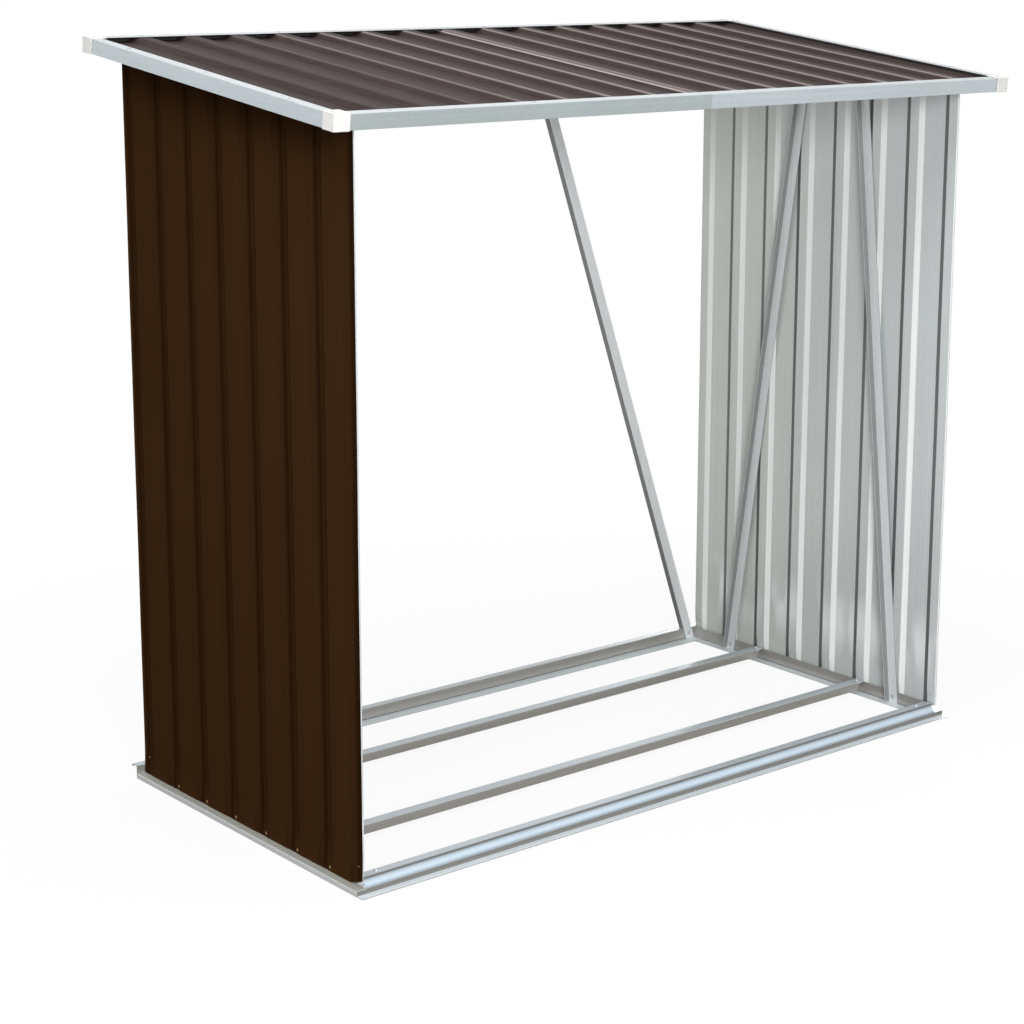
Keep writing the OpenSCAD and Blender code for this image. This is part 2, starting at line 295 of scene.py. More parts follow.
# many of these are copies of one zinc by face: the darker ones painted shade, the lighter and bluer ones
# painted light and sky reflection, the near-black one a painted shadow
zinc = {"level": (0.49, 0.535, 0.565), "foot": (0.82, 0.89, 0.93), "upright": (0.46, 0.445, 0.42),
        "ledge": (0.56, 0.67, 0.76), "trim": (0.55, 0.61, 0.635), "left": (0.45, 0.505, 0.515),
        "flange": (0.54, 0.575, 0.59), "flat": (0.74, 0.77, 0.79), "leg": (0.24, 0.25, 0.25),
        "back": (0.62, 0.66, 0.675), "rear": (0.63, 0.67, 0.625), "flankHighlight": (0.87, 0.90, 0.885),
        "riserShade": (0.20, 0.195, 0.18), "outer": (0.68, 0.72, 0.73), "shelf": (0.49, 0.50, 0.455),
        "shine": (0.90, 0.93, 0.94), "gap": (0.014, 0.012, 0.011), "deep": 0.84, "flankShade": 0.22,
        "spangle": 260.0, "turn": 0.35, "patchAt": 0.15, "patch": 0.11, "patchScale": (1.0, 17.0, 5.0),
        "patchy": 0.75, "footHigh": (4 * mm, 8 * mm), "swellAt": 17 * mm, "swell": (1.5 * mm, 6.5 * mm),
        "swellShade": 0.5}
capTone = {"clean": (0.76, 0.757, 0.735), "soiled": (0.70, 0.693, 0.665)}


def capPlastic():
    # matt moulded plastic, slightly soiled
    s = newShade("creamPlastic")
    cloud = s.noise(60.0, 3.0)
    grain = s.noise(1400.0, 2.0)
    colour = s.blend(s.steps(cloud, 0.35, 0.75), capTone["clean"], capTone["soiled"])
    return s.finish(Base_Color=colour, Roughness=0.5 + 0.1 * cloud, Normal=s.bump(grain, 0.08, 0.0002))


def screwMetal(name, first, second):
    s = newShade(name)
    cloud = s.noise(700.0, 3.0)
    return s.finish(Base_Color=s.blend(cloud, first, second), Metallic=0.9, Roughness=0.3 + 0.2 * cloud)


# the second wall coat is a darker copy: painted shade on the outside flanks that face the front
brownWall, brownShadedFlank = wallCoat("brownWall", 1.0), wallCoat("brownShadedFlank", 0.74)
brownRoof = roofCoat()
# painted shade: a dark copy for the front rail's riser
shadedRiserZinc = zincCoat("shadedRiserZinc", 0, zinc["riserShade"], 0.3, 0.35)
# painted light on the side rails' outer face and painted shade on their shelf
shelfFinish = [zincCoat("litOuterZinc", 1, zinc["outer"], 0.3, 0.35),
               zincCoat("shadedShelfZinc", 1, zinc["shelf"], 0.3, 0.35)]
# the front rail's shoulder: a pale blue copy, painted sky reflection, with painted shade towards its edges
shoulderZinc = zincCoat("shoulderZinc", 0, zinc["ledge"], 0.4, 0.30, swell=zinc["swellAt"])
# rail finishes: level, a darker upright copy for painted shade, and a pale blue copy for painted sky
# reflection on sloping faces
railX, railY = ([zincCoat("levelZinc" + n, i, zinc["level"], 0.4, 0.40, foot=zinc["foot"]),
                 zincCoat("uprightZinc" + n, i, zinc["upright"], 0.55, 0.28),
                 zincCoat("skyLitLedgeZinc" + n, i, zinc["ledge"], 0.4, 0.30)] for i, n in enumerate("XY"))
# trim finishes: the face, and for the top flange a less metallic copy that reads lighter, painted light
trimX, trimY = ([zincCoat("trimZinc" + n, i, zinc["trim"], 0.85, 0.30),
                 zincCoat("litFlangeZinc" + n, i, zinc["flange"], 0.3, 0.40)] for i, n in enumerate("XY"))
# painted shade: a darker copy for the face of the front trim's left half
shadedTrimLeft = [zincCoat("shadedTrimZincLeft", 0, zinc["left"], 0.85, 0.30), trimX[1]]
# braces: the flat leg's finish, and a dark copy for the standing leg, painted shade
braceZ = [zincCoat("flatZinc", 2, zinc["flat"], 0.15, 0.34), zincCoat("shadedLegZinc", 2, zinc["leg"], 0.15, 0.36)]
# painted shadow: near black for the inside of the rear trims
gapShadow = zincCoat("gapShadow", 0, zinc["gap"], 0.0, 0.7)
sheetInner = zincCoat("sheetZinc", 2, zinc["back"], 0.2, 0.34, 0.3, zinc["rear"])
# painted shade on the inner flanks that face the rear, and a painted highlight on those that face the front
sheetShade = zincCoat("shadedFlankZinc", 2, toned(zinc["back"], zinc["flankShade"]), 0.2, 0.4, 0.3)
sheetHighlight = zincCoat("highlightFlankZinc", 2, zinc["flankHighlight"], 0.0, 0.34, 0.3)
sheetUnder = zincCoat("underZinc", 1, zinc["back"], 0.35, 0.34, 0.3)
cream = capPlastic()
brassy = screwMetal("yellowZinc", (0.22, 0.14, 0.07), (0.15, 0.09, 0.045))
greyish = screwMetal("greyZinc", (0.42, 0.43, 0.44), (0.34, 0.35, 0.36))
silvery = screwMetal("whiteZinc", (0.64, 0.66, 0.67), (0.54, 0.56, 0.57))
# dark pins: painted shade in place of small holes in the caps
holeShadePin = screwMetal("holeShadePin", (0.10, 0.08, 0.06), (0.06, 0.05, 0.04))
print("stage: finishes made")


# folded sheet metal: a bent line, thickened, carried along a straight path
def bentLine(points, radius, steps=4):
    # each inner corner becomes an arc that is tangent to both sides
    points = np.asarray(points, float)
    before, corner, after = points[:-2], points[1:-1], points[2:]
    inLength = np.linalg.norm(before - corner, axis=1)
    outLength = np.linalg.norm(after - corner, axis=1)
    towards, away = (before - corner) / inLength[:, None], (after - corner) / outLength[:, None]
    halfTurn = np.arccos(np.clip((towards * away).sum(1), -1, 1)) / 2
    # a bend takes up less than half of its shorter side
    reach = np.minimum(radius / np.tan(halfTurn), 0.45 * np.minimum(inLength, outLength))
    start, end = corner + towards * reach[:, None], corner + away * reach[:, None]
    t = np.linspace(0, 1, steps + 1)[None, :, None]
    # rational quadratic: an exact circular arc
    weight = np.sin(halfTurn)[:, None, None]
    top = (1 - t) ** 2 * start[:, None] + 2 * weight * t * (1 - t) * corner[:, None] + t ** 2 * end[:, None]
    arcs = top / ((1 - t) ** 2 + 2 * weight * t * (1 - t) + t ** 2)
    return np.concatenate([points[:1], arcs.reshape(-1, 2), points[-1:]])


def twoFaces(line, thickness):
    # the line moved half a thickness to each side along its mitred normal
    step = np.diff(line, axis=0)
    step /= np.linalg.norm(step, axis=1)[:, None]
    normal = np.stack([-step[:, 1], step[:, 0]], 1)
    mitre = np.concatenate([normal[:1], normal[:-1] + normal[1:], normal[-1:]])
    mitre /= np.linalg.norm(mitre, axis=1)[:, None]
    first = np.concatenate([normal[:1], normal])
    mitre /= (mitre * first).sum(1)[:, None]
    return line + mitre * thickness / 2, line - mitre * thickness / 2


def carried(line, thickness, start, end, axes, place, stations=2, sway=None):
    # surface S(i, w) = u_i U + v_i V + w W, for both faces of the line
    # start and end are numbers, or functions that give a number per point
    left, right = twoFaces(line, thickness)
    rim = np.concatenate([left, right[::-1]])
    first = start(rim) if callable(start) else np.full(len(rim), float(start))
    last = end(rim) if callable(end) else np.full(len(rim), float(end))
    t = np.linspace(0, 1, stations)[:, None]
    w = first[None] * (1 - t) + last[None] * t
    u = np.broadcast_to(rim[:, 0], w.shape)
    v = np.broadcast_to(rim[:, 1], w.shape)
    if sway is not None:
        u, v = sway(u, v, w)
    grid = np.zeros((*w.shape, 3))
    for value, axis in zip((u, v, w), axes):
        grid[..., axis] = value
    n, count = len(rim), len(line)
    k = np.arange(n)
    ring = np.arange(stations - 1)[:, None] * n
    sides = np.stack([ring + k, ring + (k + 1) % n, ring + n + (k + 1) % n, ring + n + k], -1).reshape(-1, 4)
    j = np.arange(count - 1)
    low = np.stack([j, n - 1 - j, n - 2 - j, j + 1], -1)
    high = np.stack([j, j + 1, n - 2 - j, n - 1 - j], -1) + (stations - 1) * n
    side = np.where(k < count, 0, 1)
    index = np.concatenate([np.tile(side, stations - 1), np.zeros(2 * len(j), int)])
    return place(grid.reshape(-1, 3)), np.concatenate([sides, low, high]), index


def joined(parts):
    # several surfaces as one
    spots, faces, index, shift = [], [], [], 0
    for points, quads, marks in parts:
        spots.append(points)
        faces.append(quads + shift)
        index.append(marks)
        shift += len(points)
    return np.concatenate(spots), np.concatenate(faces), np.concatenate(index)


def mirrored(surface):
    points, quads, marks = surface
    return flipX(points), quads[:, ::-1], marks


sharpAngle = math.radians(40)


def makePiece(name, surface, materials, stands=(), pick=None):
    points, quads, marks = surface
    mesh = bpy.data.meshes.new(name)
    mesh.from_pydata(points.tolist(), [], quads.tolist())
    for material in materials:
        mesh.materials.append(material)
    mesh.update()
    turnOutwards(mesh)
    if pick:
        marks = pick(marks, faceNormals(mesh))
    mesh.polygons.foreach_set("material_index", np.minimum(marks, len(materials) - 1).astype(np.int32))
    mesh.shade_smooth()
    mesh.set_sharp_from_angle(angle=sharpAngle)
    piece = bpy.data.objects.new(name, mesh)
    scene.collection.objects.link(piece)
    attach(piece, "root")
    if stands:
        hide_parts(*stands)
    return piece


def makePair(name, surface, materials, node=None, pick=None):
    # a piece on the right and its mirror image on the left
    for side, shape in (("right", surface), ("left", mirrored(surface))):
        makePiece(side + name, shape, materials, [side + node] if node else (), pick)


def faceNormals(mesh):
    normals = np.empty(len(mesh.polygons) * 3, np.float32)
    mesh.polygons.foreach_get("normal", normals)
    return normals.reshape(-1, 3)


# limits on the parts of a face's normal, by which its finish is picked
tilt = {"upright": 0.6, "level": 0.9, "top": 0.7, "side": 0.5, "flank": (0.05, 0.7)}


def standing(marks, normals):
    # upright faces of rails and beams get a darker copy, painted shade, and sloping ones a pale blue copy,
    # painted sky reflection
    slope = np.abs(normals[:, 2])
    return np.where(slope < tilt["upright"], 1, np.where(slope < tilt["level"], 2, 0))


def flanged(marks, normals):
    # the trims' top flanges, which get a less metallic copy that reads lighter: painted light
    return (normals[:, 2] > tilt["top"]).astype(int)


def turnOutwards(mesh):
    # signed volume of the closed surface: where it is negative the faces are turned round
    spots = np.empty(len(mesh.vertices) * 3, np.float32)
    mesh.vertices.foreach_get("co", spots)
    spots = spots.reshape(-1, 3).astype(float)
    mesh.calc_loop_triangles()
    tri = np.empty(len(mesh.loop_triangles) * 3, np.int32)
    mesh.loop_triangles.foreach_get("vertices", tri)
    a, b, c = (spots[tri.reshape(-1, 3)[:, i]] for i in range(3))
    if (np.cross(a, b) * c).sum() < 0:
        mesh.flip_normals()


# walls and roof, of profiled sheet
def profileLine(width, ribs, height, drop=0.0, cut=0.0, fold=0.0):
    # middle line of the sheet: narrow crowns at v = 0 and wide pans one fall lower
    # both edges may be folded over
    pitch = (width - sheet["rib"]) / ribs
    fall, rib, flank = height - sheet["thick"], sheet["rib"], sheet["flank"]
    at = np.arange(ribs)[:, None] * pitch
    one = np.array([[0, 0], [rib, 0], [rib + flank, -fall], [pitch - flank, -fall]])
    points = (one[None] + np.stack([at, np.zeros_like(at)], -1)).reshape(-1, 2)
    last = np.array([[ribs * pitch - flank * drop / fall, -drop], [ribs * pitch + rib - cut, -drop]])
    points = np.concatenate([points, last])
    points[:, 1] -= sheet["thick"] / 2
    if fold:
        edge = sheet["thick"] / 2
        points[0, 0], points[-1, 0] = edge, width - edge
        points = np.concatenate([[(edge, -fold)], points, [(width - edge, -fold)]])
    return bentLine(points, sheet["bend"])


wallLine = profileLine(wallWidth, wallRibs, sheet["wallHeight"], fold=sheet["fold"])
wallLine = np.stack([wallLine[:, 0] + wallLow.y, wallLow.x - wallLine[:, 1]], 1)


def swelling(u, v, w):
    # slow swell of thin sheet between its fixings, nothing at its foot and head
    # the grooves run out at the foot
    held = np.sin(math.pi * np.clip((w - wallLow.z) / (roof["top"] - sheet["headDrop"] - wallLow.z), 0, 1))
    swell = 1 + np.sin(7.0 * w + 1) * np.sin(11.0 * u + 2) + 0.5 * np.sin(17.0 * w - 9.0 * u)
    rise = np.clip((w - wallLow.z) / sheet["runOut"], 0, 1)
    depth = sheet["footDepth"] + (1 - sheet["footDepth"]) * rise * rise * (3 - 2 * rise)
    atEnd = np.abs(u - (wallLow.y + wallHigh.y) / 2) > wallWidth / 2 - sheet["rib"] / 2
    sunk = wallHigh.x - sheet["thick"] / 2 - np.where(atEnd, v, np.interp(u, wallLine[:, 0], wallLine[:, 1]))
    return u, v + sunk * (1 - depth) + sheet["sway"] * held * swell


roofUnder = trimIn + sheet["height"]


def underRoof(y):
    # height of the roof sheet's underside over a place y
    return roof["top"] - (roof["rear"] - y) * math.tan(roof["slope"]) - roofUnder / math.cos(roof["slope"])


def wallFoot(rim):
    # the foot is level, but for a corner that is cut off at the front
    from0 = np.clip(1 - (rim[:, 0] - wallLow.y) / sheet["cutLong"], 0, 1)
    return wallLow.z + sheet["cutHigh"] * from0


def wallHead(rim):
    return underRoof(rim[:, 0]) - fit


def creased(marks, normals):
    # inside, the flanks that face the rear get painted shade and the flanks that face the front a painted
    # highlight
    # outside, the flanks that face the front get painted shade
    turned = np.abs(normals[:, 1])
    flank = (turned > tilt["flank"][0]) & (turned < tilt["flank"][1])
    toFront = normals[:, 1] < 0
    marks = np.where(flank & (marks == 1), np.where(toFront, 3, 2), marks)
    return np.where(flank & (marks == 0) & toFront, 4, marks)


rightWall = carried(wallLine, sheet["thick"], wallFoot, wallHead, (1, 0, 2), inWorld,
                    sheet["wallRows"], swelling)
wallFinish = [brownWall, sheetInner, sheetShade, sheetHighlight, brownShadedFlank]
makePair("WallSheet", rightWall, wallFinish, "_wall", creased)

roofLong = (-roof["length"] + trimIn + fit, -trimIn - fit)
halfWide = (roofWide + sheet["rib"]) / 2


def roofSurface(drop, cut):
    line = profileLine(halfWide, halfRibs, sheet["height"], drop, cut)
    line = np.stack([line[:, 0] - roofWide / 2, line[:, 1] - trimIn], 1)
    return carried(line, sheet["thick"], *roofLong, (0, 2, 1), onRoof, sheet["roofRows"])


roofFinish = [brownRoof, sheetUnder]
leftRoof = roofSurface(sheet["thick"] + fit, sheet["lapCut"])
rightRoof = mirrored(roofSurface(0.0, 0.0))
makePiece("roofSheetLeft", leftRoof, roofFinish, ["roof_sheet_left"])
makePiece("roofSheetRight", rightRoof, roofFinish, ["roof_sheet_right"])
print("stage: walls and roof sheets made")


# base rails, folded from thin strip
rail = {"bend": 1.2 * mm, "swell": 4 * mm, "high": 28 * mm, "ledge": 10 * mm, "ledgeWide": 35 * mm,
        "lip": 18 * mm, "turn": 21 * mm, "turnLip": 5 * mm, "sideLedge": 23 * mm, "sideFoot": 22 * mm,
        "rearTurn": 18 * mm, "rearFoot": 30 * mm, "footUp": 3 * mm, "cad": 1 * mm}
half = rail["cad"] / 2
riserY = baseFront + rail["lip"]
uprightY = riserY + rail["ledgeWide"]
returnY = uprightY - rail["turn"]
rearWebY = baseRear - rail["rearTurn"] - rail["cad"]
webOut = baseHalf - rail["sideLedge"]
webIn = webOut - rail["cad"]
sideLedge = rail["ledge"] + rail["cad"]
footHalf = baseHalf - rail["cad"] - fit
uprightHalf = webOut - fit

# lip, riser, a shoulder with a soft swell, a small step, the top return and an upright behind it
shoulderHalf = webIn - fit
frontFold = [(baseFront, half), (riserY + half, half), (riserY + half, rail["ledge"] - half),
             (returnY + half, rail["high"] - rail["turnLip"]), (returnY + half, rail["high"] - half),
             (uprightY - half, rail["high"] - half), (uprightY - half, rail["ledge"] - rail["cad"])]
frontBends = np.array([rail["bend"], rail["swell"]] + [rail["bend"]] * 3)
frontLine = bentLine(frontFold, frontBends, 8)
frontFoot = bentLine([*frontFold[:3], (uprightY - half, rail["ledge"] - half)], rail["bend"])
frontTop = bentLine(frontFold[3:], rail["bend"])
frontRail = [carried(frontLine, rail["cad"], -shoulderHalf, shoulderHalf, (1, 2, 0), inWorld, 30)]
for line, end in ((frontFoot, footHalf), (frontTop, uprightHalf)):
    frontRail += [carried(line, rail["cad"], shoulderHalf, end, (1, 2, 0), inWorld),
                  carried(line, rail["cad"], -end, -shoulderHalf, (1, 2, 0), inWorld)]
makePiece("frontBaseRail", joined(frontRail), [railX[0], shadedRiserZinc, shoulderZinc],
          ["front_base_rail"], pick=standing)

rearTop = bentLine([(rearWebY + half, half), (rearWebY + half, rail["high"] - half),
                    (baseRear - half, rail["high"] - half),
                    (baseRear - half, rail["high"] - rail["turnLip"])], rail["bend"])
rearFoot = bentLine([(rearWebY - rail["rearFoot"], half), (rearWebY + half, half),
                     (rearWebY + half, rail["footUp"])], rail["bend"])
rearRail = joined([carried(rearTop, rail["cad"], -baseHalf, baseHalf, (1, 2, 0), inWorld, 30),
                   carried(rearFoot, rail["cad"], fit - webIn, webIn - fit, (1, 2, 0), inWorld, 30)])
makePiece("rearBaseRail", rearRail, railX, ["rear_base_rail"], pick=standing)

shelfX, shelfZ = baseHalf - half, sideLedge - half
sideShelf = bentLine([(webIn + half, shelfZ), (shelfX, shelfZ), (shelfX, 0)], rail["bend"])
sideWeb = bentLine([(webIn + half, 0), (webIn + half, rail["high"])], rail["bend"])
sideFoot = bentLine([(webIn - rail["sideFoot"], half), (webIn + half, half),
                     (webIn + half, rail["footUp"])], rail["bend"])
shelf = carried(sideShelf, rail["cad"], riserY, rearWebY - fit, (0, 2, 1), inWorld, 20)
sideRail = joined([
    shelf,
    carried(sideWeb, rail["cad"], uprightY + fit, rearWebY - fit, (0, 2, 1), inWorld, 20),
    carried(sideFoot, rail["cad"], uprightY + fit, rearWebY - rail["rearFoot"] - fit,
            (0, 2, 1), inWorld, 20)])


def shelved(marks, normals):
    # painted shade and light: the shelf under the wall is darker and its outer face lighter
    marks = standing(marks, normals)
    return np.where(np.arange(len(marks)) < len(shelf[1]), np.where(marks == 1, 3, 4), marks)


sideFinish = railY + shelfFinish
makePair("BaseRail", sideRail, sideFinish, "_base_rail", shelved)
print("stage: base rails made")

# floor beams: inverted channels, pressed flat at the ends
beam = {"wide": 25 * mm, "high": 19 * mm, "tongue": 24 * mm, "squeeze": 16 * mm, "least": 0.05,
        "bend": 1.5 * mm, "rows": 220}
beamTop = rail["high"] + rail["cad"]
beamSide, beamFoot = beam["wide"] / 2 - half, beamTop - beam["high"]
beamLine = bentLine([(-beamSide, beamFoot), (-beamSide, beamTop - half),
                     (beamSide, beamTop - half), (beamSide, beamFoot)], beam["bend"])


def flattened(u, v, w):
    # leg height fades to almost nothing over the last stretch: v' = top - (top - v) k(w)
    legEnd = webIn - beam["tongue"]
    k = np.clip((legEnd + beam["squeeze"] - np.abs(w)) / beam["squeeze"], 0, 1)
    k = beam["least"] + (1 - beam["least"]) * k * k * (3 - 2 * k)
    deep = np.minimum(v, beamTop - rail["cad"])
    return u, v - deep + (beamTop - rail["cad"]) - (beamTop - rail["cad"] - deep) * k


for name, node in (("frontFloorBeam", "front_floor_beam"), ("rearFloorBeam", "rear_floor_beam")):
    low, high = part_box(node)
    middle = (low.y + high.y) / 2
    shape = carried(beamLine + np.array([middle, 0]), rail["cad"], -webOut, webOut, (1, 2, 0), inWorld,
                    beam["rows"], flattened)
    makePiece(name, shape, railX, [node], pick=standing)

# angle under the roof at the top of each wall
topRail = {"high": 25 * mm, "wide": 20 * mm, "bend": 1.2 * mm}
railTop = -roofUnder - fit
topLine = bentLine([(webIn + half, railTop - topRail["high"]), (webIn + half, railTop - half),
                    (webOut - topRail["wide"], railTop - half)], topRail["bend"])
topRear = (wallHigh.y - roof["rear"]) / math.cos(roof["slope"])
topLong = wallWidth / math.cos(roof["slope"])
topShape = carried(topLine, rail["cad"], topRear - topLong, topRear, (0, 2, 1), onRoof, 12)
makePair("TopRail", topShape, trimY[:1], "_top_rail")

# slanting angle braces; the standing leg stops short of the foot and is cut away at the head
brace = {"wide": 26 * mm, "leg": 15 * mm, "thick": 1.2 * mm, "notch": 42 * mm, "toe": 3 * mm,
         "bend": 1.2 * mm, "edge": 0.2 * mm}


def braceSurface(foot, head, edge, place):
    # along the bar p(z) = foot + (head - foot) (z - z0) / (z1 - z0)
    # across it the flat leg, then the standing leg
    lean = (head[0] - foot[0]) / (head[1] - foot[1])
    stretch = math.sqrt(1 + lean * lean)
    side = brace["wide"] / 2 * stretch
    thick = brace["thick"]
    inner = edge * (side - (brace["edge"] + thick / 2) * stretch)

    def slanted(u, v, w):
        return u + foot[0] + lean * (w - foot[1]), v

    flat = np.array([(-edge * side, 0), (edge * side, 0)])
    angle = bentLine([(-edge * side, 0), (inner, 0), (inner, brace["leg"] - thick / 2)], brace["bend"])
    low, high = foot[1] + brace["toe"], head[1] - brace["notch"]
    spans = [(flat, foot[1], low), (angle, low, high), (flat, high, head[1])]
    return joined([carried(line, thick, start, end, (0, 1, 2), place, 24, slanted)
                   for line, start, end in spans])


def rearPlace(points):
    face = rearWebY - fit - brace["thick"] / 2
    return np.stack([points[..., 0], face + points[..., 1], points[..., 2]], -1)


def sidePlace(points):
    face = webIn - fit - brace["thick"] / 2
    return np.stack([face - points[..., 1], points[..., 0], points[..., 2]], -1)


rearLow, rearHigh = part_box("rear_brace_right")
rearSpan = rearHigh.x - rearLow.x - brace["wide"]
rearSide = brace["wide"] / 2 * math.hypot(1, rearSpan / (rearHigh.z - rearLow.z))
rearFootX, rearHeadX = rearHigh.x - rearSide, rearLow.x + rearSide
rearBrace = braceSurface((rearFootX, rearLow.z), (rearHeadX, rearHigh.z), -1, rearPlace)


# painted shade: the standing legs get the dark copy of the braces' finish
def rearLegs(marks, normals):
    return (np.abs(normals[:, 0]) > tilt["side"]).astype(int)


def sideLegs(marks, normals):
    return (np.abs(normals[:, 1]) > tilt["side"]).astype(int)


makePiece("rearBraceRight", rearBrace, braceZ, ["rear_brace_right"], pick=rearLegs)
makePiece("rearBraceLeft", mirrored(rearBrace), braceZ, ["rear_brace_left"],
          pick=rearLegs)

sideBraces = {"Front": (-272 * mm, -118 * mm), "Rear": (263 * mm, 48 * mm)}
for end, (footY, headY) in sideBraces.items():
    low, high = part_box("right_brace_" + end.lower())
    shape = braceSurface((baseMid + footY, low.z), (baseMid + headY, high.z), 1, sidePlace)
    makePair("Brace" + end, shape, braceZ, "_brace_" + end.lower(), sideLegs)
print("stage: beams and braces made")

# roof edge trims: a top flange, a face and a hem turned up behind the face
trim = {"high": 29 * mm, "wide": trimWide, "hem": 6 * mm, "hemOff": 0.76 * mm, "bend": 1.5 * mm,
        "joint": 0.6 * mm, "thick": 0.6 * mm, "rows": 16}


def trimLine(outer, inward):
    # outer is the face's place across the roof edge, inward the way to the roof's middle
    face = outer + inward * trim["thick"] / 2
    back = face + inward * trim["hemOff"]
    top, bottom = -trimSet - trim["thick"] / 2, -trimSet - trim["high"]
    return bentLine([(outer + inward * trim["wide"], top), (face, top), (face, bottom + trim["thick"] / 2),
                     (back, bottom + trim["thick"] / 2), (back, bottom + trim["hem"])], trim["bend"])


halfTrimEnd = roof["half"] - trimSet - trim["wide"] - fit
alongX = (trim["joint"] / 2, halfTrimEnd, (1, 2, 0), onRoof, trim["rows"])
rearTrim = carried(trimLine(-trimSet, -1), trim["thick"], *alongX)
frontTrim = carried(trimLine(-roof["length"] + trimSet, 1), trim["thick"], *alongX)
sideTrim = carried(trimLine(roof["half"] - trimSet, -1), trim["thick"], -roof["length"] + trimSet, -trimSet,
                   (0, 2, 1), onRoof, trim["rows"])


def rearInside(marks, normals):
    # painted shadow: the inside of the rear trims, seen through the gaps over the pans, is near black
    inner = (normals[:, 1] < -tilt["side"]) | (normals[:, 2] < -tilt["top"])
    return np.where(inner, 2, flanged(marks, normals))


for end, shape, right, left, inside in (
        ("rear", rearTrim, trimX + [gapShadow], trimX + [gapShadow], rearInside),
        ("front", frontTrim, trimX, shadedTrimLeft, flanged)):
    makePiece(end + "TrimRight", shape, right, [end + "_trim_right"], pick=inside)
    makePiece(end + "TrimLeft", mirrored(shape), left, [end + "_trim_left"], pick=inside)
makePair("Trim", sideTrim, trimY, "_trim", flanged)

# corner caps: three plates moulded round a corner
cap = {"wide": capHigh.x - capLow.x, "high": trimSet + trim["high"] + 1 * mm, "round": 1.2 * mm,
       "rim": 3 * mm, "slope": 1.4 * mm, "sunk": 0.5 * mm}


def capSurface(frontEnd):
    # outer skin and inner skin joined at the rims; the top lies a little lower inside a flat border
    w, h, t = cap["wide"], cap["high"], capT
    outer = np.array([[-w, 0, 0], [0, 0, 0], [0, -w, 0], [-w, -w, 0], [-w, 0, -h], [0, 0, -h], [0, -w, -h]])
    inner = np.array([[-w, -t, -t], [-t, -t, -t], [-t, -w, -t], [-w, -w, -t],
                      [-w, -t, -h], [-t, -t, -h], [-t, -w, -h]])
    corners, middle = outer[:4], np.array([-w / 2, -w / 2, 0])
    border = corners + np.sign(middle - corners) * cap["rim"]
    sunk = border + np.sign(middle - border) * cap["slope"] - np.array([0, 0, cap["sunk"]])
    points = np.concatenate([outer, inner, border, sunk])
    k = np.arange(4)
    near, far = (k + 1) % 4, k
    tops = np.concatenate([np.stack([near, far, 14 + far, 14 + near], 1),
                           np.stack([14 + near, 14 + far, 18 + far, 18 + near], 1), [[21, 20, 19, 18]]])
    quads = np.array([[0, 1, 5, 4], [1, 2, 6, 5],
                      [7, 8, 9, 10], [7, 11, 12, 8], [8, 12, 13, 9],
                      [0, 7, 10, 3], [3, 10, 9, 2], [0, 4, 11, 7],
                      [4, 5, 12, 11], [5, 6, 13, 12], [2, 9, 13, 6]])
    quads = np.concatenate([tops, quads])
    points = points + np.array([roof["half"], 0, 0])
    if frontEnd:
        points = points * np.array([1, -1, 1]) - np.array([0, roof["length"], 0])
    return onRoof(points), quads, np.zeros(len(quads), int)


for end, isFront in (("rear", False), ("front", True)):
    for side in ("right", "left"):
        shape = capSurface(isFront)
        piece = makePiece(end + side.title() + "Cap", shape if side == "right" else mirrored(shape), [cream],
                          [f"{end}_{side}_cap"])
        rounding = piece.modifiers.new("rounding", "BEVEL")
        rounding.width, rounding.segments, rounding.limit_method = cap["round"] / 2, 3, "ANGLE"
print("stage: trims and caps made")


# screw heads: a dome on a washer, turned about its axis
screw = {"sides": 14, "dome": 3.6 * mm, "tall": 2.4 * mm, "washer": 5.2 * mm, "plate": 0.7 * mm,
         "profile": ((1, 0), (1, 0.45), (0.82, 0.85), (0.45, 1), (0.12, 0.8))}


def screwHeads(spots, outward, size=1.0):
    # turned profile r(t), h(t) about the axis `outward`, copied to every spot
    across, up = np.array(screw["profile"]).T
    r = np.array([screw["washer"], screw["washer"], *(screw["dome"] * across)]) * size
    h = np.array([0, screw["plate"], *(screw["plate"] + screw["tall"] * up)]) * size
    turn = np.linspace(0, 2 * math.pi, screw["sides"], endpoint=False)
    axis = np.asarray(outward, float) / np.linalg.norm(outward)
    a = np.cross(axis, (0, 0, 1) if abs(axis[2]) < 0.9 else (1, 0, 0))
    a /= np.linalg.norm(a)
    b = np.cross(axis, a)
    ringPoints = (r[:, None, None] * (np.cos(turn)[None, :, None] * a + np.sin(turn)[None, :, None] * b)
                  + h[:, None, None] * axis).reshape(-1, 3)
    n, rows = screw["sides"], len(r)
    k = np.arange(n)
    base = np.arange(rows - 1)[:, None] * n
    quads = np.stack([base + k, base + (k + 1) % n, base + n + (k + 1) % n, base + n + k], -1).reshape(-1, 4)
    last = (rows - 1) * n
    fan = np.arange(1, n - 2, 2)
    lid = np.stack([np.full_like(fan, last), last + fan, last + fan + 1, last + (fan + 2) % n], -1)
    under = np.stack([np.zeros_like(fan), (fan + 2) % n, fan + 1, fan], -1)
    quads = np.concatenate([quads, lid, under])
    spots = np.asarray(spots, float).reshape(-1, 3)
    points = (spots[:, None] + ringPoints[None]).reshape(-1, 3)
    faces = (np.arange(len(spots))[:, None, None] * len(ringPoints) + quads[None]).reshape(-1, 4)
    return points, faces, np.zeros(len(faces), int)


grooves = creaseY + np.arange(1, wallRibs) * wallPitch
grooveFace = wallLow.x + sheet["thick"]


def inRow(x, y, z):
    # rows of spots from three arrays or numbers
    return np.stack(np.broadcast_arrays(x, y, z), -1).astype(float).reshape(-1, 3)


